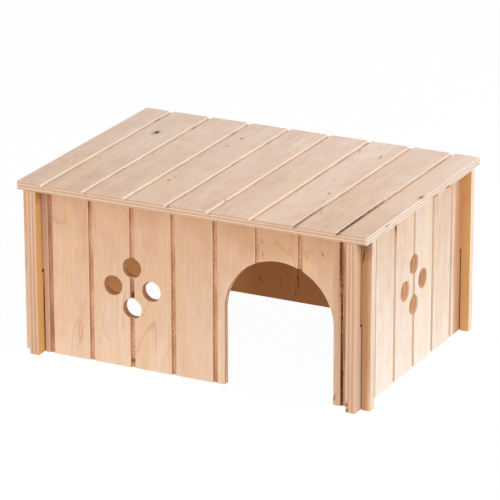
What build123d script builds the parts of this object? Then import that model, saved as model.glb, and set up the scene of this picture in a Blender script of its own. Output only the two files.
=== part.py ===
"""Rabbit hutch: four grooved plywood walls, cross-lapped at the corners, under a lift-off grooved roof.

Millimetres. +Z is up, the front wall faces -Y, and the origin is on the floor at the middle of the hutch.
"""

import os

from build123d import *

# Overall size: the roof's outline, and the floor to the roof's top
overall_length = 330.0
overall_depth = 236.0
overall_height = 157.0

# Plywood sheets: the side walls are of a thicker one
wall_thickness = 7.0
side_thickness = 8.5
roof_thickness = 7.0
corner_radius = 1.0
eased_edge = 0.3

# Grooves that mark the planks
groove_width = 4.6
groove_depth = 1.8
groove_pitch = 39.75
roof_end_plank = 20.0
wall_end_plank = 4.0

# Corner laps: each wall stands inside the outline, and its ends reach out past the wall that it crosses
wall_inset = 11.0
side_inset = 9.5
front_lap_play = 1.0
side_lap_play = 1.5
lap_end_gap = 2.6

# Doorway in the front wall, with a half-round head
door_width = 102.0
door_height = 119.0
door_from_end = 34.5

# Vent holes, four in a diamond on a groove
vent_diameter = 18.0
vent_spread = 18.5
front_vent_height = 72.7
side_vent_height = 76.0
front_vent_pitches = -1.5

# Battens under the roof
batten_width = 12.0
batten_height = 12.0
batten_play = 1.0

# Brads up through the battens, with a flat head let in flush
brad_width = 1.2
brad_head_width = 2.4
brad_head_thickness = 0.8
brads_per_batten = 4
brad_end_distance = 24.0
brad_tip_cover = 1.5

# Sizes that follow
wall_height = overall_height - roof_thickness
side_outer_x = overall_length / 2 - side_inset
side_inner_x = side_outer_x - side_thickness
front_outer_y = overall_depth / 2 - wall_inset
front_inner_y = front_outer_y - wall_thickness
lap_depth = wall_height / 2 + lap_end_gap / 2
front_lap_inner = side_inner_x - front_lap_play
front_lap_width = side_thickness + 2 * front_lap_play
side_lap_width = wall_thickness + side_lap_play
batten_length = 2 * (side_inner_x - batten_play)
batten_y = front_inner_y - batten_play - batten_width / 2
brad_top = overall_height - groove_depth - brad_tip_cover
brad_bottom = wall_height - batten_height
brad_spacing = (batten_length - 2 * brad_end_distance) / (brads_per_batten - 1)


def groove_places(first, reach):
    """Groove centres, pitched outwards both ways from the first, with no groove past the reach."""
    places = []
    place = first
    while place + groove_width / 2 <= reach:
        places += {place, -place}
        place += groove_pitch
    return sorted(places)


def vent_places(centre, height):
    """The four hole centres of a vent diamond, as (along the wall, height)."""
    return [
        (centre, height + vent_spread),
        (centre - vent_spread, height),
        (centre + vent_spread, height),
        (centre, height - vent_spread),
    ]


def plywood_wall(
    outer_face, length, thickness, lap_inner, lap_width, lap_height, grooves, vents=(), door_centre=None
):
    """A wall: an eased sheet slotted near each end, with its openings, and grooves down its outer face."""
    lap_centre = lap_inner + lap_width / 2
    with BuildPart() as wall:
        with BuildSketch(outer_face):
            with Locations((0, wall_height / 2)):
                RectangleRounded(length, wall_height, corner_radius)
            with Locations((-lap_centre, lap_height), (lap_centre, lap_height)):
                Rectangle(lap_width, lap_depth, mode=Mode.SUBTRACT)
        extrude(amount=-thickness)
        broad_faces = wall.faces().sort_by(SortBy.AREA)[-2:]
        fillet(broad_faces.edges(), eased_edge)
        if vents:
            with BuildSketch(outer_face):
                with Locations(*vents):
                    Circle(vent_diameter / 2)
            extrude(amount=-thickness, mode=Mode.SUBTRACT)
        if door_centre is not None:
            jamb_height = door_height - door_width / 2
            left = door_centre - door_width / 2
            right = door_centre + door_width / 2
            with BuildSketch(outer_face):
                with BuildLine():
                    left_jamb = Line((left, 0), (left, jamb_height))
                    right_jamb = Line((right, jamb_height), (right, 0))
                    ThreePointArc(left_jamb @ 1, (door_centre, door_height), right_jamb @ 0)
                    Line(right_jamb @ 1, left_jamb @ 0)
                make_face()
            extrude(amount=-thickness, mode=Mode.SUBTRACT)
        with BuildSketch(outer_face):
            with Locations(*[(place, wall_height / 2) for place in grooves]):
                Rectangle(groove_width, wall_height)
        extrude(amount=-groove_depth, mode=Mode.SUBTRACT)
    return wall


# The side walls are slotted from their top edge, and the front and back walls drop into them from above
side_lap_height = wall_height - lap_depth / 2
front_lap_height = lap_depth / 2

# The roof's grooves line up with those of the front and back walls
roof_grooves = groove_places(groove_pitch / 2, overall_length / 2 - roof_end_plank)
long_grooves = groove_places(groove_pitch / 2, side_inner_x - wall_end_plank)
side_grooves = groove_places(0, front_inner_y - wall_end_plank)

# Front wall, with the doorway and a vent diamond
front_face = Plane(origin=(0, -front_outer_y, 0), x_dir=(1, 0, 0), z_dir=(0, -1, 0))
front_wall = plywood_wall(
    front_face,
    overall_length,
    wall_thickness,
    front_lap_inner,
    front_lap_width,
    front_lap_height,
    long_grooves,
    vents=vent_places(front_vent_pitches * groove_pitch, front_vent_height),
    door_centre=overall_length / 2 - door_from_end - door_width / 2,
)
front_wall.part.label = "front_wall"

# Back wall, closed
back_face = Plane(origin=(0, front_outer_y, 0), x_dir=(-1, 0, 0), z_dir=(0, 1, 0))
back_wall = plywood_wall(
    back_face,
    overall_length,
    wall_thickness,
    front_lap_inner,
    front_lap_width,
    front_lap_height,
    long_grooves,
)
back_wall.part.label = "back_wall"

# Side walls, two alike, one turned half round
right_face = Plane(origin=(side_outer_x, 0, 0), x_dir=(0, 1, 0), z_dir=(1, 0, 0))
left_face = Plane(origin=(-side_outer_x, 0, 0), x_dir=(0, -1, 0), z_dir=(-1, 0, 0))
side_lap = (front_inner_y, side_lap_width, side_lap_height)
side_vents = vent_places(0, side_vent_height)
right_wall = plywood_wall(right_face, overall_depth, side_thickness, *side_lap, side_grooves, side_vents)
right_wall.part.label = "right_wall"
left_wall = plywood_wall(left_face, overall_depth, side_thickness, *side_lap, side_grooves, side_vents)
left_wall.part.label = "left_wall"

# Brads, shank and head, from the battens' underside to just short of the roof's grooves
brad_places = [
    (row * brad_spacing - batten_length / 2 + brad_end_distance, side * batten_y)
    for side in (-1, 1)
    for row in range(brads_per_batten)
]
with BuildPart() as batten_brads:
    with BuildSketch(Plane.XY.offset(brad_bottom)):
        with Locations(*brad_places):
            Rectangle(brad_width, brad_width)
    extrude(amount=brad_top - brad_bottom)
    with BuildSketch(Plane.XY.offset(brad_bottom)):
        with Locations(*brad_places):
            Rectangle(brad_head_width, brad_width)
    extrude(amount=brad_head_thickness)
batten_brads.part.label = "batten_brads"

# Roof, grooved like the walls, with the brads' points in its underside
with BuildPart() as roof_panel:
    with BuildSketch(Plane.XY.offset(wall_height)):
        RectangleRounded(overall_length, overall_depth, corner_radius)
    extrude(amount=roof_thickness)
    broad_faces = roof_panel.faces().sort_by(SortBy.AREA)[-2:]
    fillet(broad_faces.edges(), eased_edge)
    with BuildSketch(Plane.XY.offset(overall_height)):
        with Locations(*[(place, 0) for place in roof_grooves]):
            Rectangle(groove_width, overall_depth)
    extrude(amount=-groove_depth, mode=Mode.SUBTRACT)
    add(batten_brads.part, mode=Mode.SUBTRACT)
roof_panel.part.label = "roof_panel"


def roof_batten(centre_y):
    """A strip along the roof's underside, with its lower edges eased and its brads' holes."""
    with BuildPart() as batten:
        with BuildSketch(Plane.XY.offset(brad_bottom)):
            with Locations((0, centre_y)):
                Rectangle(batten_length, batten_width)
        extrude(amount=batten_height)
        fillet(batten.faces().sort_by(Axis.Z)[0].edges(), eased_edge)
        add(batten_brads.part, mode=Mode.SUBTRACT)
    return batten


front_batten = roof_batten(-batten_y)
front_batten.part.label = "front_batten"
back_batten = roof_batten(batten_y)
back_batten.part.label = "back_batten"

os.makedirs("parts", exist_ok=True)
pieces = [front_wall, back_wall, left_wall, right_wall, roof_panel, front_batten, back_batten, batten_brads]
for piece in pieces:
    export_step(piece.part, f"parts/{piece.part.label}.step")
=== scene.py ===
"""Rabbit hutch of grooved birch plywood: the looks of its sheets, battens and brads.

Metres, unless a name says mm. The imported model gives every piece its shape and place. Here each gets
its wood or metal, a torn fibre is added in a groove, and the floor, lights and camera are set.
"""
import math

import bpy
import numpy as np
from mathutils import Matrix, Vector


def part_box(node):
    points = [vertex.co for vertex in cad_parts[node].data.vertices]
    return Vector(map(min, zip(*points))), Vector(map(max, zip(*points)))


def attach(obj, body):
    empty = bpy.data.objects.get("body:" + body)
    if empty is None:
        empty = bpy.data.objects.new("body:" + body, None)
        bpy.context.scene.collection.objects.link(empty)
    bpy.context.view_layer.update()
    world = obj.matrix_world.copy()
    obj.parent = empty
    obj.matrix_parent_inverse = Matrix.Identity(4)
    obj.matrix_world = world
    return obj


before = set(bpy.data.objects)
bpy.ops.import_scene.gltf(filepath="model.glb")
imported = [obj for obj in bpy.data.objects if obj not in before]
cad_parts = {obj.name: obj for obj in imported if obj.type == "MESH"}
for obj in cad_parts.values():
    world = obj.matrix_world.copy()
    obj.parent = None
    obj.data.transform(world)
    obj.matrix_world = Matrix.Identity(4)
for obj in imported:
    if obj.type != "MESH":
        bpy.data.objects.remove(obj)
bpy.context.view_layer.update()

# Front wall: one sheet of five-ply birch, 7 mm thick, with its face grain upright. The doorway is routed
# and the vents are drilled through it, and the plank lines are shallow grooves, cut just past the first
# glue line into the crossed ply below.

MM = 0.001
PLIES = 5
GROOVE_PITCH_MM = 39.75
GROOVE_HALF_MM = 2.3
GROOVE_DEPTH_MM = 1.8
VENT_RADIUS_MM = 9.0
VENT_SPREAD_MM = 18.5
FRONT_VENT_HEIGHT_MM = 72.7


def srgb(red, green, blue):
    """A display colour, 0 to 255, as linear light with an alpha of 1."""
    shares = np.array([red, green, blue]) / 255
    linear = np.where(shares <= 0.04045, shares / 12.92, ((shares + 0.055) / 1.055) ** 2.4)
    return (*linear.tolist(), 1.0)


class Recipe:
    """A material's node tree, with one short call for each kind of node, which gives back its output."""

    def __init__(self, name):
        self.material = bpy.data.materials.new(name)
        self.material.use_nodes = True
        self.tree = self.material.node_tree
        self.shader = self.tree.nodes["Principled BSDF"]
        self.coordinates = self.tree.nodes.new("ShaderNodeTexCoord").outputs

    def node(self, kind, output, inputs, **settings):
        """Adds a node, sets its settings, and joins or fills its inputs."""
        added = self.tree.nodes.new("ShaderNode" + kind)
        for key, value in settings.items():
            setattr(added, key, value)
        for key, value in inputs.items():
            if isinstance(value, bpy.types.NodeSocket):
                self.tree.links.new(value, added.inputs[key])
            else:
                added.inputs[key].default_value = value
        return added.outputs[output]

    def math(self, operation, *values):
        """A sum on numbers."""
        return self.node("Math", 0, dict(enumerate(values)), operation=operation)

    def product(self, *values):
        """The product of some numbers."""
        total = values[0]
        for value in values[1:]:
            total = self.math("MULTIPLY", total, value)
        return total

    def vector(self, operation, *values, output=0):
        """A sum on vectors."""
        return self.node("VectorMath", output, dict(enumerate(values)), operation=operation)

    def point(self, x, y, z):
        """Three numbers as one vector."""
        return self.node("CombineXYZ", 0, {0: x, 1: y, 2: z})

    def step(self, value, low, high, first=0.0, last=1.0):
        """Runs smoothly from first, where the value is low, to last, where it is high."""
        ends = {"Value": value, "From Min": low, "From Max": high, "To Min": first, "To Max": last}
        return self.node("MapRange", 0, ends, interpolation_type="SMOOTHSTEP")

    def between(self, share, first, second):
        """The number a share of the way from the first to the second."""
        return self.node("Mix", 0, {0: share, 2: first, 3: second}, data_type="FLOAT")

    def tint(self, share, first, second, how="MIX"):
        """The colour a share of the way from the first to the second, or to their product."""
        return self.node("Mix", 2, {0: share, 6: first, 7: second}, data_type="RGBA", blend_type=how)

    def noise(self, spot, stretch, detail=2.0, roughness=0.5):
        """Soft noise from 0 to 1, with this many swings per mm along each axis of the spot."""
        scaled = self.vector("MULTIPLY", spot, stretch)
        grade = {"Scale": 1.0, "Detail": detail, "Roughness": roughness}
        return self.node("TexNoise", 0, {"Vector": scaled, **grade})

    def swayed(self, middle, *parts):
        """A middle value plus some signals, each measured from its own middle and times its weight."""
        signal_middle = 0.5
        total = middle
        for signal, weight in parts:
            swing = self.math("SUBTRACT", signal, signal_middle)
            total = self.math("MULTIPLY_ADD", swing, weight, total)
        return total

    def cores(self, spot, stretch, rarity, size):
        """1 inside the cores of scattered cells, where rarity is the share of cells that have no core."""
        blur = 0.03
        cells = self.tree.nodes.new("ShaderNodeTexVoronoi")
        cells.inputs["Scale"].default_value = 1.0
        self.tree.links.new(self.vector("MULTIPLY", spot, stretch), cells.inputs["Vector"])
        draw = self.node("SeparateColor", 0, {0: cells.outputs["Color"]})
        radius = self.step(draw, rarity, 1.0, 0.0, size)
        return self.step(self.math("SUBTRACT", cells.outputs["Distance"], radius), blur, -blur)

    def finish(self, name, colour, roughness, relief, relief_mm):
        """Joins the colour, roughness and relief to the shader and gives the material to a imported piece."""
        bump_strength = 0.6
        height = {"Height": relief, "Strength": bump_strength, "Distance": relief_mm * MM}
        bump = self.node("Bump", 0, height)
        for socket, value in (("Base Color", colour), ("Roughness", roughness), ("Normal", bump)):
            self.tree.links.new(value, self.shader.inputs[socket])
        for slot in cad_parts[name].material_slots:
            slot.material = self.material


class BirchPly(Recipe):
    """Birch plywood, worked out through its depth, so that its faces, edges, bores and grooves agree.

    A place in the sheet is v, how far across the face grain it lies, u, how far along the face grain, and
    its depth below the outer face, all in mm. Depth over ply thickness gives the ply, and every other ply
    has its grain crossed.
    """

    # Noise, in swings per mm across the grain, along it and through the sheet
    GLUE_WANDER = (0.03, 0.03, 1.0)
    TONE = (0.022, 0.005, 1.0)
    FIBRE = (0.45, 0.016, 0.45)
    SHORT_FIBRE = (0.75, 0.07, 0.75)
    SILK = (0.08, 0.045, 1.0)
    STRIPE = (0.05, 0.006, 1.0)
    HILL = (0.018, 0.0034, 1.0)
    FLAME_PATCH = (0.022, 0.012, 1.0)
    DASH = (0.8, 0.2, 1.0)
    FLECK = (0.11, 0.026, 1.0)
    BAND_EDGE = (0.06, 0.01, 1.0)
    SPECKLE = (0.9, 0.4, 0.9)
    GROOVE_TONE = (0.02, 0.03, 1.0)
    TOOL_LINE = (1.2, 0.03, 1.0)
    TORN = (0.3, 0.9, 1.0)
    MARK_EDGE = (0.5, 0.25, 1.0)

    # How far glue lines wander, and the widths over which one finish gives way to the next
    GLUE_WANDER_MM = 0.24
    SANDED_END_MM = 1.0
    SANDED_FADE_MM = 0.5
    FACE_MM = 0.4
    FACE_FADE_MM = 0.5
    BORE_MM = 0.3
    CUT_MM = 0.05
    GROOVED_FADE_MM = 1.0
    ARRIS_MM = 0.1

    # Other settings of the wood
    PLY_SEED = 7.3
    FLAME_LINES = 15.0
    SHEEN = 0.16
    DULL_SHEEN = 0.02
    RELIEF_MM = 0.09

    def __init__(self, node, across, along, inward, colours, seed):
        super().__init__(node + "_birch")
        self.piece = node
        self.colours = colours
        self.seed = seed
        axes = (across, along, inward)
        reach = np.array(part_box(node)) @ np.array(axes).T / MM
        self.low, self.high = reach.min(axis=0).tolist(), reach.max(axis=0).tolist()
        place, normal = self.coordinates["Object"], self.coordinates["Normal"]
        self.v, self.u, inner = (self.math("DIVIDE", self.dot(place, axis), MM) for axis in axes)
        self.depth = self.math("SUBTRACT", inner, self.low[2])
        self.thickness = self.high[2] - self.low[2]
        self.sheet = self.point(self.v, self.u, seed)
        self.turned = [self.math("ABSOLUTE", self.dot(normal, axis)) for axis in axes]
        self.is_cut = self.step(self.turned[2], 0.6, 0.3)
        self.find_ply()
        self.veneer()

    def dot(self, first, second):
        """How far one vector reaches along another."""
        return self.vector("DOT_PRODUCT", first, second, output="Value")

    def find_ply(self):
        """Which ply a place is in, and how squarely the surface cuts its grain. Glue lines wander."""
        wander = self.swayed(0.0, (self.noise(self.sheet, self.GLUE_WANDER), self.GLUE_WANDER_MM))
        ply_mm = self.thickness / PLIES
        self.plies_deep = self.math("DIVIDE", self.math("ADD", self.depth, wander), ply_mm)
        layer = self.math("MAXIMUM", self.math("FLOOR", self.plies_deep), 0.0)
        self.layer = self.math("MINIMUM", layer, PLIES - 1.0)
        crossed = self.math("MODULO", self.layer, 2.0)
        run = self.between(crossed, self.u, self.v)
        side = self.between(crossed, self.v, self.u)
        own_seed = self.math("MULTIPLY_ADD", self.layer, self.PLY_SEED, self.seed)
        self.grain = self.point(side, run, self.math("ADD", self.depth, own_seed))
        self.spot = self.point(side, run, own_seed)
        across, along, _ = self.turned
        self.end_grain = self.between(crossed, along, across)

    def veneer(self):
        """The wood of the plies: a broad tone, long and short fibres, and silk across them, from pale to
        tan, with yellower stripes. Drift is what the tan gains with each mm up the grain from the sheet's
        middle: on the walls it is painted shade, darker up towards the roof and lighter down by the bright
        floor. The innermost ply is another wood."""
        tone = self.noise(self.spot, self.TONE)
        self.fibre = self.noise(self.grain, self.FIBRE, detail=4.0, roughness=0.68)
        short = self.noise(self.grain, self.SHORT_FIBRE)
        silk = self.noise(self.spot, self.SILK, detail=1.0)
        share = self.swayed(0.45, (tone, 0.9), (self.fibre, 0.8), (short, 0.7), (silk, 0.5))
        upward = self.math("SUBTRACT", self.u, (self.low[1] + self.high[1]) / 2)
        outer_share = self.math("MULTIPLY_ADD", upward, self.colours["drift"], share)
        outer = self.tint(outer_share, self.colours["pale"], self.colours["tan"])
        stripe = self.step(self.noise(self.spot, self.STRIPE), 0.45, 0.7, 0.0, 0.6)
        outer = self.tint(stripe, outer, self.colours["warm"])
        inner = self.tint(share, self.colours["inner_pale"], self.colours["inner_tan"])
        self.colour = self.tint(self.step(self.layer, PLIES - 1.6, PLIES - 1.4), outer, inner)

    def flame(self, strength):
        """Flame figure: thin warm lines that come and go, contours of a hill drawn out along the grain."""
        hill = self.noise(self.spot, self.HILL, detail=3.0, roughness=0.45)
        ring = self.math("FRACT", self.math("MULTIPLY", hill, self.FLAME_LINES))
        line = self.product(self.step(ring, 0.78, 0.94), self.step(ring, 1.0, 0.96))
        shown = self.step(self.noise(self.spot, self.FLAME_PATCH), 0.45, 0.68)
        self.colour = self.tint(self.product(line, shown, strength), self.colour, self.colours["late"])

    def pores(self, strength):
        """Short dark dashes and a few longer brown flecks, the cores of cells drawn out along the grain."""
        self.dashes = self.cores(self.spot, self.DASH, rarity=0.5, size=0.24)
        shown = self.product(self.dashes, strength)
        self.colour = self.tint(shown, self.colour, self.colours["late"], "MULTIPLY")
        flecks = self.cores(self.spot, self.FLECK, rarity=0.9, size=0.08)
        self.colour = self.tint(self.product(flecks, 0.3), self.colour, self.colours["fleck"])

    def ovals(self, places, ragged):
        """How far out of each oval a place lies, 1 at its rim, and the oval's strength, 0 at other depths.
        An oval is (across, along, half width, half length, turn in degrees, strength, plies deep), and
        reaches one ply's thickness down from the depth that it gives."""
        half_ply = 0.5
        depth_margin = 0.001
        deep = self.math("MINIMUM", self.math("MAXIMUM", self.plies_deep, 0.0), float(PLIES))
        for across, along, half_width, half_length, turn, strength, plies in places:
            lies = {
                "Location": (across, along, self.seed),
                "Rotation": (0, 0, math.radians(turn)),
                "Scale": (half_width, half_length, 1.0),
            }
            local = self.node("Mapping", 0, {"Vector": self.sheet, **lies}, vector_type="TEXTURE")
            reach = self.math("ADD", self.vector("LENGTH", local, output="Value"), ragged)
            same = self.math("COMPARE", deep, plies + half_ply, half_ply + depth_margin)
            yield reach, self.product(same, strength)

    def heartwood_and_shade(self, bands):
        """Broad soft streaks of redder wood; some bands are painted shade, and some painted warm bounce
        light.
        """
        ragged = self.swayed(0.0, (self.noise(self.sheet, self.BAND_EDGE), 0.8))
        shown = 0.0
        for reach, strength in self.ovals(bands, ragged):
            shown = self.math("MAXIMUM", self.product(self.step(reach, 1.3, 0.5), strength), shown)
        self.colour = self.tint(shown, self.colour, self.colours["heart_and_shade"])

    def edges(self):
        """Cut edges: one tint where the cut runs along a ply's fibres, another and speckled where it goes
        across them, with glue lines between the plies. The sheet's two ends along its grain have tints of
        their own, and the eased arrises are part of the way to the cut's."""
        _, _, faces_out = self.turned
        self.speckle = self.noise(self.grain, self.SPECKLE, detail=3.0, roughness=0.7)
        across_share = self.product(self.end_grain, self.step(self.speckle, 0.3, 0.7, 0.4, 1.0))
        end_mm = self.high[0] - self.SANDED_END_MM
        at_end = self.step(self.math("ABSOLUTE", self.v), end_mm - self.SANDED_FADE_MM, end_mm)
        long_cut = self.tint(at_end, self.colours["bore_long"], self.colours["edge_long"])
        end_cut = self.tint(at_end, self.colours["bore_end"], self.colours["edge_end"])
        cut = self.tint(across_share, long_cut, end_cut)
        cut = self.tint(self.step(self.fibre, 0.45, 0.75, 0.0, 0.5), cut, end_cut)
        self.colour = self.tint(self.is_cut, self.colour, cut)
        off_line = self.math("PINGPONG", self.plies_deep, 0.5)
        core_mm = self.FACE_MM + self.FACE_FADE_MM
        inside = self.product(
            self.step(self.depth, self.FACE_MM, core_mm),
            self.step(self.depth, self.thickness - self.FACE_MM, self.thickness - core_mm),
        )
        glue = self.product(self.step(off_line, 0.15, 0.04), inside, self.colours["glue"])
        self.colour = self.tint(glue, self.colour, self.colours["glue_line"])
        eased = self.product(self.step(faces_out, 0.15, 0.4), self.step(faces_out, 0.98, 0.9))
        self.colour = self.tint(self.product(eased, 0.6), self.colour, long_cut)

    def vents(self, centres):
        """Vent bores: drilled, so a little darker than the routed and sawn cuts."""
        bore_mm = VENT_RADIUS_MM + self.BORE_MM
        for across, along in centres:
            off_centre = self.vector("DISTANCE", self.sheet, (across, along, self.seed), output="Value")
            bore = self.product(self.step(off_centre, bore_mm + self.BORE_MM, bore_mm), self.is_cut)
            self.colour = self.tint(bore, self.colour, self.colours["drilled"], "MULTIPLY")

    def grooves(self, first_mm, last_mm):
        """Plank grooves, from the first one off the middle to the last: a floor of torn crossed fibres, and
        cut sides."""
        pitches = self.math("DIVIDE", self.math("SUBTRACT", self.v, first_mm), GROOVE_PITCH_MM)
        share = self.math("FRACT", self.math("ADD", pitches, 0.5))
        self.off_groove = self.product(self.math("SUBTRACT", share, 0.5), GROOVE_PITCH_MM)
        end_mm = last_mm + GROOVE_PITCH_MM / 2
        self.grooved = self.step(self.math("ABSOLUTE", self.v), end_mm, end_mm - self.GROOVED_FADE_MM)
        half_mm = GROOVE_HALF_MM + self.CUT_MM
        floor_mm = GROOVE_DEPTH_MM + 2 * self.CUT_MM
        cut_away = self.product(
            self.step(self.math("ABSOLUTE", self.off_groove), half_mm + self.CUT_MM, half_mm),
            self.step(self.depth, floor_mm + 2 * self.CUT_MM, floor_mm),
            self.grooved,
        )
        side_mm = GROOVE_DEPTH_MM - 2 * self.CUT_MM
        at_bottom = self.step(self.depth, side_mm - self.CUT_MM, side_mm)
        self.groove_floor = self.product(cut_away, at_bottom)
        tone = self.noise(self.sheet, self.GROOVE_TONE, detail=1.0)
        tooled = self.noise(self.sheet, self.TOOL_LINE)
        torn = self.noise(self.sheet, self.TORN, detail=3.0, roughness=0.7)
        self.torn = self.swayed(torn, (tone, 0.7), (tooled, 0.5))
        rough = self.step(self.torn, 0.3, 0.7)
        floor = self.tint(rough, self.colours["groove_dark"], self.colours["groove_pale"])
        self.colour = self.tint(self.groove_floor, self.colour, floor)
        sides = self.product(cut_away, self.step(self.turned[0], 0.5, 0.9), 0.9)
        self.colour = self.tint(sides, self.colour, self.colours["groove_side"])

    def stains_and_shades(self, marks):
        """Knots, chips and dark marks at their own places, each a ragged core in a faint warm halo. Some of
        the marks are painted shade: under the roof, in grooves and slot gaps, and in chips.
        """
        ragged = self.swayed(0.0, (self.noise(self.sheet, self.MARK_EDGE, detail=3.0), 1.2))
        self.stain_and_shade = 0.0
        halo = 0.0
        for reach, strength in self.ovals(marks, ragged):
            core = self.product(self.step(reach, 1.15, 0.35), strength)
            self.stain_and_shade = self.math("MAXIMUM", core, self.stain_and_shade)
            around = self.product(self.step(reach, 2.6, 1.0), strength)
            halo = self.math("MAXIMUM", around, halo)
        self.colour = self.tint(self.product(halo, 0.35), self.colour, self.colours["heart_and_shade"])
        self.colour = self.tint(self.stain_and_shade, self.colour, self.colours["knot_and_shade"])

    def sanded_arris_highlights(self):
        """A thin pale line on the left edge of each groove: partly a sanded edge, partly painted highlight
        where the edge catches the light.
        """
        arris_mm = GROOVE_HALF_MM + self.ARRIS_MM
        off_arris = self.math("ABSOLUTE", self.math("ADD", self.off_groove, arris_mm))
        near_top = self.step(self.depth, 0.5, 0.2)
        sanded_arris_highlight = self.product(self.step(off_arris, 0.4, 0.15), near_top, self.grooved, 0.8)
        self.colour = self.tint(sanded_arris_highlight, self.colour, self.colours["sanded_arris_highlight"])

    def dress(self):
        """Adds the relief and the sheen of sanded, unvarnished wood and gives it to the sheet."""
        relief = self.math("MULTIPLY_ADD", self.dashes, -0.4, self.fibre)
        relief = self.math("SUBTRACT", relief, self.stain_and_shade)
        relief = self.math("MULTIPLY_ADD", self.product(self.end_grain, self.speckle), 0.8, relief)
        relief = self.math("MULTIPLY_ADD", self.product(self.groove_floor, self.torn), 2.0, relief)
        dull = self.math("MAXIMUM", self.stain_and_shade, self.groove_floor)
        sheen = self.step(dull, 0.0, 0.6, self.SHEEN, self.DULL_SHEEN)
        self.tree.links.new(sheen, self.shader.inputs["Specular IOR Level"])
        roughness = self.step(self.fibre, 0.3, 0.7, 0.58, 0.74)
        self.finish(self.piece, self.colour, roughness, relief, self.RELIEF_MM)


def birch_sheet(
    node, across, along, inward, colours, seed, grooves, flame, pores, vents=(), bands=(), marks=()
):
    """Dresses one sheet in birch plywood, with the later finishes over the earlier ones."""
    birch = BirchPly(node, across, along, inward, colours, seed)
    birch.flame(flame)
    birch.pores(pores)
    birch.heartwood_and_shade(bands)
    birch.edges()
    birch.vents(vents)
    birch.grooves(*grooves)
    birch.sanded_arris_highlights()
    birch.stains_and_shades(marks)
    birch.dress()


def diamond(across, along):
    """The four vents' centres round a middle."""
    steps = [(0, VENT_SPREAD_MM), (-VENT_SPREAD_MM, 0), (VENT_SPREAD_MM, 0), (0, -VENT_SPREAD_MM)]
    return [(across + aside, along + above) for aside, above in steps]


UP = (0, 0, 1)
LONG_GROOVES = (GROOVE_PITCH_MM / 2, 3.5 * GROOVE_PITCH_MM)
FRONT_VENT_ACROSS_MM = -1.5 * GROOVE_PITCH_MM
front_colours = {
    "pale": srgb(240, 208, 180),
    "tan": srgb(213, 168, 134),
    "warm": srgb(231, 188, 146),
    "late": srgb(205, 140, 98),
    "fleck": srgb(160, 104, 70),
    # also the colour of the marks of painted shade
    "knot_and_shade": srgb(98, 48, 14),
    # also the colour of the bands of painted shade
    "heart_and_shade": srgb(197, 148, 102),
    "inner_pale": srgb(228, 182, 124),
    "inner_tan": srgb(204, 148, 96),
    "edge_long": srgb(248, 232, 212),
    "edge_end": srgb(216, 184, 158),
    "bore_long": srgb(255, 227, 198),
    "bore_end": srgb(170, 108, 70),
    "drilled": srgb(241, 218, 196),
    "groove_dark": srgb(196, 141, 103),
    "groove_pale": srgb(238, 194, 156),
    "groove_side": srgb(200, 148, 110),
    # partly sanded wear, partly painted highlight
    "sanded_arris_highlight": srgb(240, 207, 180),
    "glue": 0.7,
    "glue_line": srgb(140, 94, 64),
    # painted shade: the front wall darkens up towards the roof
    "drift": 0.006,
}
front_bands = [
    # The right end, in painted shade cast by the right wall's end, a strip to the right of the doorway, and
    # one beside the left-most groove, in painted shade cast by the left wall's end
    (157, 75, 6, 200, 0, 0.9, 0),
    (133.6, 60, 4, 200, 0, 0.35, 0),
    (-144, 75, 4, 300, 0, 0.15, 0),
    # The middle plank, and two patches of painted shade under the roof's overhang
    (0, 75, 24, 200, 0, 0.17, 0),
    (-119, 140, 25, 30, 0, 0.15, 0),
    (75, 140, 60, 20, 0, 0.4, 0),
]
front_marks = [
    # Groove floors: a dark top in painted shade under the roof, a brown stretch between the vents, a dark
    # foot
    (-100.5, 143, 1.8, 10, 0, 0.4, 0.5),
    (-59.8, 66, 2.6, 4.2, 0, 0.95, 0.5),
    (-59.8, 75, 2.8, 11, 0, 0.45, 0.5),
    (-60, 6, 2.6, 2.6, 0, 0.8, 0.5),
    # Face: two scratches and a chip over the doorway, and a chip at its right foot
    (64, 134.5, 0.6, 2.2, 20, 0.7, 0),
    (64.5, 123, 0.5, 5, 0, 0.6, 0),
    (120, 132, 0.7, 2.4, 25, 0.75, 0),
    (131.2, 6, 0.9, 3, -20, 0.8, 0),
    # A streak at the top of the right end, in a patch of painted shade under the roof's corner
    (157.6, 138, 1.1, 9, -8, 0.8, 0),
    (160, 150, 8, 19, 0, 0.42, 0),
    # A dark line down the right-most groove, which leans left at its top, partly a burnt line and partly
    # painted shade beside the right wall's end; and a faint left-most one, painted shade from the left wall's
    # end
    (137.8, 40, 1.3, 80, 0, 0.95, 0.5),
    (136.4, 145, 1.2, 62, 0, 0.85, 0),
    (-139.1, 75, 3, 110, 0, 0.15, 0.5),
]
birch_sheet(
    "front_wall",
    across=(1, 0, 0),
    along=UP,
    inward=(0, 1, 0),
    colours=front_colours,
    seed=0.0,
    grooves=LONG_GROOVES,
    flame=0.5,
    pores=0.2,
    vents=diamond(FRONT_VENT_ACROSS_MM, FRONT_VENT_HEIGHT_MM),
    bands=front_bands,
    marks=front_marks,
)

# Back wall: the same sheet without openings, grooved on its outside and slotted like the front. Its plain
# inner face, tinted redder all over, shows through the doorway and has a few dark marks: the tint is partly
# the wood and partly painted warm bounce light inside the hutch.

back_colours = {
    **front_colours,
    "heart_and_shade": srgb(190, 131, 80),
    "edge_long": srgb(246, 228, 206),
    "edge_end": srgb(232, 204, 176),
    "glue": 0.4,
}
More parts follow.
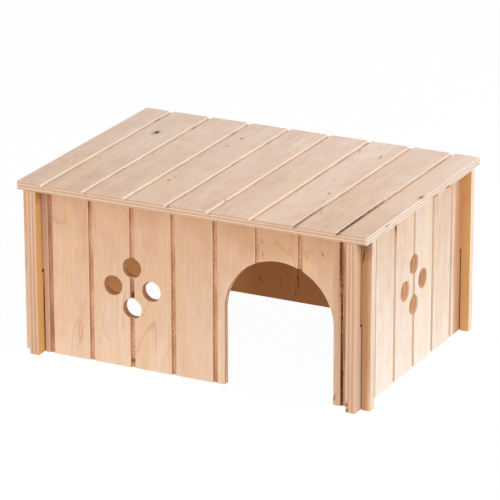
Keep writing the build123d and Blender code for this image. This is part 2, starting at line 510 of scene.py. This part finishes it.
# partly redder wood, partly painted warm bounce light over the inner face
back_bands = [(-20, 75, 118, 400, 0, 0.8, 4)]
back_marks = [
    # Inner face: a slanting mark, a long dark line, and short ones beside it
    (40, 16.5, 0.8, 3.6, -40, 0.7, 4),
    (2.3, 21.5, 0.7, 11, 0, 0.95, 4),
    (4.8, 8.5, 0.6, 3, 0, 0.6, 4),
    (13.6, 26, 0.7, 2, 20, 0.5, 4),
    (19.5, 16, 0.7, 6, 0, 0.35, 4),
    (-9.7, 17, 0.6, 6, 0, 0.3, 4),
]
birch_sheet(
    "back_wall",
    across=(-1, 0, 0),
    along=UP,
    inward=(0, -1, 0),
    colours=back_colours,
    seed=40.0,
    grooves=LONG_GROOVES,
    flame=0.5,
    pores=0.2,
    bands=back_bands,
    marks=back_marks,
)

# Side walls: two thicker sheets of the same birch, alike, one turned half round. They are slotted from
# their top edge, and the front and back walls drop into them.

SIDE_VENT_HEIGHT_MM = 76.0
SIDE_GROOVES = (0.0, 2 * GROOVE_PITCH_MM)
side_colours = {
    **front_colours,
    "pale": srgb(243, 230, 217),
    "tan": srgb(214, 182, 156),
    "warm": srgb(236, 212, 186),
    "late": srgb(216, 168, 132),
    "heart_and_shade": srgb(200, 152, 116),
    "edge_long": srgb(228, 188, 157),
    "edge_end": srgb(199, 152, 120),
    "bore_long": srgb(248, 206, 166),
    "bore_end": srgb(216, 162, 120),
    "drilled": srgb(246, 246, 250),
    "groove_dark": srgb(218, 184, 156),
    "groove_pale": srgb(240, 214, 190),
    "groove_side": srgb(228, 205, 182),
    "sanded_arris_highlight": srgb(250, 236, 220),
    "glue": 0.25,
    # painted light and shade: the side walls lighten down by the bright floor and darken under the roof
    "drift": 0.0045,
}
side_vents = diamond(0, SIDE_VENT_HEIGHT_MM)
right_bands = [
    # Both ends, each in painted shade from the end of the wall that crosses it, and a patch of painted shade
    # under the roof's overhang
    (101, 75, 15, 300, 0, 1, 0),
    (-114, 75, 12, 400, 0, 0.65, 0),
    (-60, 150, 30, 70, 0, 0.15, 0),
]
right_marks = [
    # Two chips at the front end's foot, a dark line beside a groove's top, and a shade at the front end's
    (-118, 7.5, 2, 2, 0, 0.8, 4),
    (-118, 2.2, 2, 2, 0, 0.8, 4),
    (-38, 140, 1.3, 13, 0, 0.7, 0),
    (-110, 150, 6, 20, 0, 0.2, 0),
]
birch_sheet(
    "right_wall",
    across=(0, 1, 0),
    along=UP,
    inward=(-1, 0, 0),
    colours=side_colours,
    seed=80.0,
    grooves=SIDE_GROOVES,
    flame=0.3,
    pores=0.15,
    vents=side_vents,
    bands=right_bands,
    marks=right_marks,
)

# The left wall's inner face is a brighter, oranger copy of the inner wood: painted bounce light from the
# front wall, over the wood's own colour
left_colours = {
    **side_colours,
    "heart_and_shade": srgb(219, 166, 105),
    "inner_pale": srgb(255, 217, 157),
    "inner_tan": srgb(255, 186, 118),
}
# painted bounce light: a golden band on the inner face of the front end
left_bands = [(114, 75, 12, 400, 0, 0.9, 4)]
left_marks = [
    # Inner face at the front end: a chip in painted shade at its top, and a line of painted shade in the
    # slot's gap beside the front wall
    (115, 141.5, 0.5, 2.2, 40, 0.7, 4),
    (112, 146, 7, 8, 0, 0.3, 4),
    (106.2, 37, 1.6, 40, 0, 0.7, 4),
]
birch_sheet(
    "left_wall",
    across=(0, -1, 0),
    along=UP,
    inward=(1, 0, 0),
    colours=left_colours,
    seed=120.0,
    grooves=SIDE_GROOVES,
    flame=0.3,
    pores=0.15,
    vents=side_vents,
    bands=left_bands,
    marks=left_marks,
)

# Roof: a loose sheet of the same plywood that lies on the walls, with its face grain from front to back.
# It has the largest knot, a scatter of small dark marks, and two chips in its lower right edge, drawn as
# painted shade.

roof_colours = {
    **front_colours,
    "pale": srgb(246, 223, 206),
    "tan": srgb(216, 179, 154),
    "warm": srgb(235, 206, 179),
    "late": srgb(196, 152, 120),
    "heart_and_shade": srgb(204, 162, 132),
    "inner_pale": srgb(233, 208, 188),
    "inner_tan": srgb(214, 178, 150),
    "edge_long": srgb(241, 223, 207),
    "edge_end": srgb(206, 180, 162),
    "bore_long": srgb(232, 200, 172),
    "bore_end": srgb(198, 156, 124),
    "groove_dark": srgb(192, 150, 126),
    "groove_pale": srgb(226, 188, 168),
    # painted highlight: the roof grooves' sides face the right-hand lamps and are painted near white
    "groove_side": srgb(255, 247, 230),
    "sanded_arris_highlight": srgb(255, 247, 230),
    "glue": 0.5,
    "glue_line": srgb(168, 134, 110),
    "drift": -0.0014,
}
roof_bands = [(152, -95, 24, 60, 0, 0.2, 0)]
roof_marks = [
    # The largest knot and its tail
    (-121.5, 56, 2.8, 5, 0, 0.95, 0),
    (-123, 51, 1.2, 2.6, 0, 0.5, 0),
    # Brown stretches near the back ends of four grooves
    (-139.7, 93.5, 1.6, 7, 0, 0.6, 0.5),
    (-100, 87, 1.6, 6, 0, 0.7, 0.5),
    (-60.2, 87, 1.6, 8, 0, 0.65, 0.5),
    (-20, 78.5, 1.2, 6, 0, 0.6, 0.5),
    # Small knots and scratches on the planks, those of the left half first
    (-45.5, 73.5, 0.9, 2.8, 0, 1, 0),
    (-48, 49.5, 0.9, 1.6, 0, 0.8, 0),
    (-49, -58, 1, 2, 0, 0.85, 0),
    (-48, -47.5, 0.6, 3.4, 0, 0.6, 0),
    (18, -82.5, 1, 2, 0, 0.6, 0),
    (87, 79.5, 0.8, 4.4, 12, 0.6, 0),
    (63.5, 87, 0.8, 5, 20, 0.4, 0),
    (77, 5.5, 0.7, 3.2, 10, 0.5, 0),
    (89, -29, 1, 1.8, 0, 0.85, 0),
    (104, -76.5, 0.8, 5, 14, 0.4, 0),
    (163, -4.5, 1.6, 4.5, 0, 0.8, 0),
    # Dark lines that run back from the front ends of the two right-most grooves
    (137.3, -88, 1.1, 100, 0, 0.85, 0.5),
    (97.5, -92, 0.9, 50, 0, 0.6, 0.5),
    # A dark gap in the right edge's second ply, and the two chips in its lowest, drawn as painted shade in
    # their hollows
    (165, -78, 1, 4, 0, 0.7, 1),
    (165, 48, 1, 5.5, 0, 0.85, 4),
    (165, 20.5, 1, 7, 0, 0.7, 4),
]
birch_sheet(
    "roof_panel",
    across=(1, 0, 0),
    along=(0, 1, 0),
    inward=(0, 0, -1),
    colours=roof_colours,
    seed=160.0,
    grooves=LONG_GROOVES,
    flame=0.2,
    pores=0.2,
    bands=roof_bands,
    marks=roof_marks,
)

# Roof battens: two planed softwood strips, bradded to the roof's underside. They sit just inside the front
# and back walls and keep the roof in place.

RING_WIDTH_MM = 2.3
RING_SWAY_MM = 5.0
PINE_RELIEF_MM = 0.06
PINE_SWAY = (0.004, 0.02, 0.02)
PINE_FIBRE = (0.03, 1.6, 1.6)
EARLY_WOOD = srgb(238, 212, 168)
LATE_WOOD = srgb(206, 156, 100)
PER_MM = (1 / MM, 1 / MM, 1 / MM)


def planed_softwood(node, pith_y_mm, pith_z_mm):
    """Pine. Growth rings are circles round the tree's pith, which runs along the strip well outside it;
    each ring darkens slowly to a thin brown line. Fibres are noise drawn out along the strip."""
    pine = Recipe(node + "_pine")
    spot = pine.vector("MULTIPLY", pine.coordinates["Object"], PER_MM)
    across = pine.vector("MULTIPLY", spot, (0.0, 1.0, 1.0))
    sway = pine.noise(spot, PINE_SWAY)
    radius = pine.vector("DISTANCE", across, (0.0, pith_y_mm, pith_z_mm), output="Value")
    radius = pine.math("MULTIPLY_ADD", sway, RING_SWAY_MM, radius)
    ring = pine.math("FRACT", pine.math("DIVIDE", radius, RING_WIDTH_MM))
    late = pine.product(pine.step(ring, 0.3, 0.9), pine.step(ring, 1.0, 0.93))
    fibre = pine.noise(spot, PINE_FIBRE, detail=3.0, roughness=0.6)
    colour = pine.tint(pine.swayed(late, (fibre, 0.5)), EARLY_WOOD, LATE_WOOD)
    roughness = pine.step(fibre, 0.3, 0.7, 0.5, 0.68)
    pine.finish(node, colour, roughness, pine.math("ADD", fibre, late), PINE_RELIEF_MM)


planed_softwood("front_batten", pith_y_mm=-70.0, pith_z_mm=110.0)
planed_softwood("back_batten", pith_y_mm=60.0, pith_z_mm=190.0)

# Brads: bright drawn steel wire with flat heads, driven up through the battens into the roof. Drawing has
# left fine lines along the wire, and handling some smudges.

STEEL_SMUDGE = (1.6, 1.6, 1.6)
STEEL_LINES = (6.0, 6.0, 0.4)
STEEL_RELIEF_MM = 0.02
steel = Recipe("brad_steel")
steel_spot = steel.vector("MULTIPLY", steel.coordinates["Object"], PER_MM)
smudge = steel.noise(steel_spot, STEEL_SMUDGE, detail=3.0)
drawn = steel.noise(steel_spot, STEEL_LINES)
steel_colour = steel.tint(smudge, srgb(188, 188, 190), srgb(142, 140, 138))
steel_roughness = steel.step(smudge, 0.3, 0.7, 0.28, 0.5)
steel.shader.inputs["Metallic"].default_value = 1.0
steel.finish("batten_brads", steel_colour, steel_roughness, drawn, STEEL_RELIEF_MM)

# Torn fibre: a sliver of birch that the cutter left hanging in the right-most groove of the front wall,
# held at both ends to the groove's floor.

FIBRE_X = 0.1389
FIBRE_TOP = 0.102
FIBRE_LENGTH = 0.070
FIBRE_RADIUS = 0.00022
FIBRE_STAND = 0.0011
FIBRE_SWAY = 0.0003
FIBRE_HOOK = 0.0018
FIBRE_ROWS = 120
FIBRE_SIDES = 8
FIBRE_GRAIN = (2.0, 2.0, 0.15)
groove_floor_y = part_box("front_wall")[0][1] + GROOVE_DEPTH_MM * MM


def fibre_surface(rows, columns):
    """A thin round strand: circles that shrink to both ends, along a line that drops down the groove, sways
    a little, and at its top and bottom hooks to one side and back to the groove's floor."""
    t = np.linspace(0.0, 1.0, rows)
    hook = np.exp(-t / 0.02) + np.exp(-(1 - t) / 0.025)
    x = FIBRE_X + FIBRE_SWAY * np.sin(9.0 * t) - FIBRE_HOOK * hook
    y = groove_floor_y - FIBRE_STAND * (1 - hook)
    z = FIBRE_TOP - FIBRE_LENGTH * t
    radius = FIBRE_RADIUS * (0.25 + 0.75 * np.sin(np.pi * np.clip(t, 0.02, 0.98)) ** 0.3)
    angle = np.linspace(0.0, 2 * np.pi, columns, endpoint=False)
    ring_x = x[:, None] + radius[:, None] * np.cos(angle)
    ring_y = y[:, None] + radius[:, None] * np.sin(angle)
    ring_z = np.broadcast_to(z[:, None], ring_x.shape)
    return np.stack([ring_x, ring_y, ring_z], axis=-1)


def tube_mesh(name, grid):
    """Joins the rows of a grid of points, closed around, and caps both ends with one flat polygon each."""
    rows, columns = grid.shape[:2]
    index = np.arange(rows * columns).reshape(rows, columns)
    ahead = np.roll(index, -1, axis=1)
    quads = np.stack([index[:-1], index[1:], ahead[1:], ahead[:-1]], axis=-1).reshape(-1, 4)
    caps = [index[0].tolist(), index[-1][::-1].tolist()]
    mesh = bpy.data.meshes.new(name)
    mesh.from_pydata(grid.reshape(-1, 3).tolist(), [], quads.tolist() + caps)
    mesh.polygons.foreach_set("use_smooth", np.ones(len(mesh.polygons), bool))
    piece = bpy.data.objects.new(name, mesh)
    bpy.context.scene.collection.objects.link(piece)
    return piece


strand = Recipe("fibre_birch")
strand_spot = strand.vector("MULTIPLY", strand.coordinates["Object"], PER_MM)
strand_noise = strand.noise(strand_spot, FIBRE_GRAIN)
strand_colour = strand.tint(strand_noise, srgb(250, 224, 198), srgb(222, 174, 134))
strand_roughness = strand.step(strand_noise, 0.3, 0.7, 0.6, 0.8)
strand.tree.links.new(strand_colour, strand.shader.inputs["Base Color"])
strand.tree.links.new(strand_roughness, strand.shader.inputs["Roughness"])
torn_fibre = tube_mesh("torn_fibre", fibre_surface(FIBRE_ROWS, FIBRE_SIDES))
torn_fibre.data.materials.append(strand.material)
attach(torn_fibre, "walls")

# Floor: a plain white sheet, lit a little from below like a light table. It reads as white to the camera
# and still keeps some of the hutch's shadow.

FLOOR_HALF = 6.0
FLOOR_SHOWN = 0.96
FLOOR_GLOW = 0.37
floor_signs = [(-1, -1), (1, -1), (1, 1), (-1, 1)]
floor_corners = [(FLOOR_HALF * x, FLOOR_HALF * y, 0.0) for x, y in floor_signs]
floor_mesh = bpy.data.meshes.new("floor")
floor_mesh.from_pydata(floor_corners, [], [(0, 1, 2, 3)])
floor = bpy.data.objects.new("floor", floor_mesh)
bpy.context.scene.collection.objects.link(floor)
paper = Recipe("floor_paper")
paper.shader.inputs["Base Color"].default_value = srgb(222, 222, 222)
paper.shader.inputs["Emission Color"].default_value = srgb(255, 255, 255)
paper.shader.inputs["Emission Strength"].default_value = FLOOR_GLOW
paper.shader.inputs["Roughness"].default_value = 0.9
paper.shader.inputs["Specular IOR Level"].default_value = 0.0


def seen_rays(recipe):
    """1 for a ray that shows the background: straight from the camera, or by way of a gloss or glass."""
    path = recipe.tree.nodes.new("ShaderNodeLightPath").outputs
    mirrored = recipe.math("MAXIMUM", path["Is Glossy Ray"], path["Is Transmission Ray"])
    return recipe.math("MAXIMUM", path["Is Camera Ray"], mirrored)


glow = paper.node("Emission", 0, {"Strength": 1.0})
shown_share = paper.math("MULTIPLY", seen_rays(paper), FLOOR_SHOWN)
surface = paper.node("MixShader", 0, {0: shown_share, 1: paper.shader.outputs[0], 2: glow})
paper.tree.links.new(surface, paper.tree.nodes["Material Output"].inputs["Surface"])
floor_mesh.materials.append(paper.material)

# Light: an even white room, with soft square lamps from the front left, the front right and the right rear,
# and one high up. The room looks white to the camera, and its light on the hutch is weaker.

ROOM_LEVEL = 0.28
room = bpy.data.worlds.new("room")
room.use_nodes = True
bpy.context.scene.world = room
background = room.node_tree.nodes["Background"]
paths = room.node_tree.nodes.new("ShaderNodeLightPath").outputs
levels = []
for ray in ("Is Camera Ray", "Is Glossy Ray", "Is Transmission Ray"):
    level = room.node_tree.nodes.new("ShaderNodeMath")
    level.operation = "MAXIMUM"
    level.inputs[1].default_value = ROOM_LEVEL
    room.node_tree.links.new(paths[ray], level.inputs[0])
    levels.append(level)
for earlier, later in zip(levels, levels[1:]):
    room.node_tree.links.new(earlier.outputs[0], later.inputs[1])
background.inputs["Color"].default_value = (1.0, 1.0, 1.0, 1.0)
room.node_tree.links.new(levels[-1].outputs[0], background.inputs["Strength"])

AIM = np.array([0.0, 0.0, 0.08])


def facing_axes(azimuth, elevation):
    """Right, up and back for a lamp or a camera that stands at these angles, in degrees, and faces the
    hutch: azimuth goes round from the front towards the right, and elevation up from the floor."""
    bearing, height = math.radians(azimuth), math.radians(elevation)
    right = np.array([math.cos(bearing), math.sin(bearing), 0.0])
    back = np.array([
        math.sin(bearing) * math.cos(height),
        -math.cos(bearing) * math.cos(height),
        math.sin(height),
    ])
    return right, np.cross(back, right), back


def stand(name, data, right, up, back, place):
    """Adds a lamp or a camera at a place, turned to its axes."""
    turn = np.eye(4)
    turn[:3] = np.stack([right, up, back, place], axis=1)
    added = bpy.data.objects.new(name, data)
    added.matrix_world = Matrix(turn.tolist())
    bpy.context.scene.collection.objects.link(added)
    return added


def lamp(name, azimuth, elevation, distance, size, level):
    """A square soft box that faces the hutch, whose level is the light it gives a surface that faces it."""
    light = bpy.data.lights.new(name, "AREA")
    light.size = size
    light.energy = level * (math.pi * distance) ** 2
    right, up, back = facing_axes(azimuth, elevation)
    stand(name, light, right, up, back, AIM + distance * back)


lamp("front_left_lamp", azimuth=-36, elevation=14, distance=1.6, size=0.7, level=0.30)
lamp("front_right_lamp", azimuth=60, elevation=30, distance=2.0, size=0.8, level=0.30)
lamp("right_rear_lamp", azimuth=112, elevation=36, distance=1.8, size=0.9, level=0.28)
lamp("top_lamp", azimuth=60, elevation=75, distance=2.0, size=1.0, level=0.28)

# Camera: a long lens, three metres away, that looks down at the front right corner. Its angles are in
# degrees, and side and rise place the hutch in the picture.

CAMERA_AZIMUTH = 26.595
CAMERA_ELEVATION = 19.676
CAMERA_ROLL = -0.104
CAMERA_DISTANCE = 3.0322
CAMERA_SIDE = -0.00071
CAMERA_RISE = 0.0779
CAMERA_LENS_MM = 248.28
CAMERA_SENSOR_MM = 36.0
level_right, level_up, back = facing_axes(CAMERA_AZIMUTH, CAMERA_ELEVATION)
roll = math.radians(CAMERA_ROLL)
right = math.cos(roll) * level_right + math.sin(roll) * level_up
up = math.cos(roll) * level_up - math.sin(roll) * level_right
viewpoint = CAMERA_SIDE * right + CAMERA_RISE * up + CAMERA_DISTANCE * back
camera_data = bpy.data.cameras.new("camera")
camera_data.lens = CAMERA_LENS_MM
camera_data.sensor_width = CAMERA_SENSOR_MM
bpy.context.scene.camera = stand("camera", camera_data, right, up, back, viewpoint)
bpy.context.scene.view_settings.view_transform = "Standard"

bpy.context.view_layer.update()
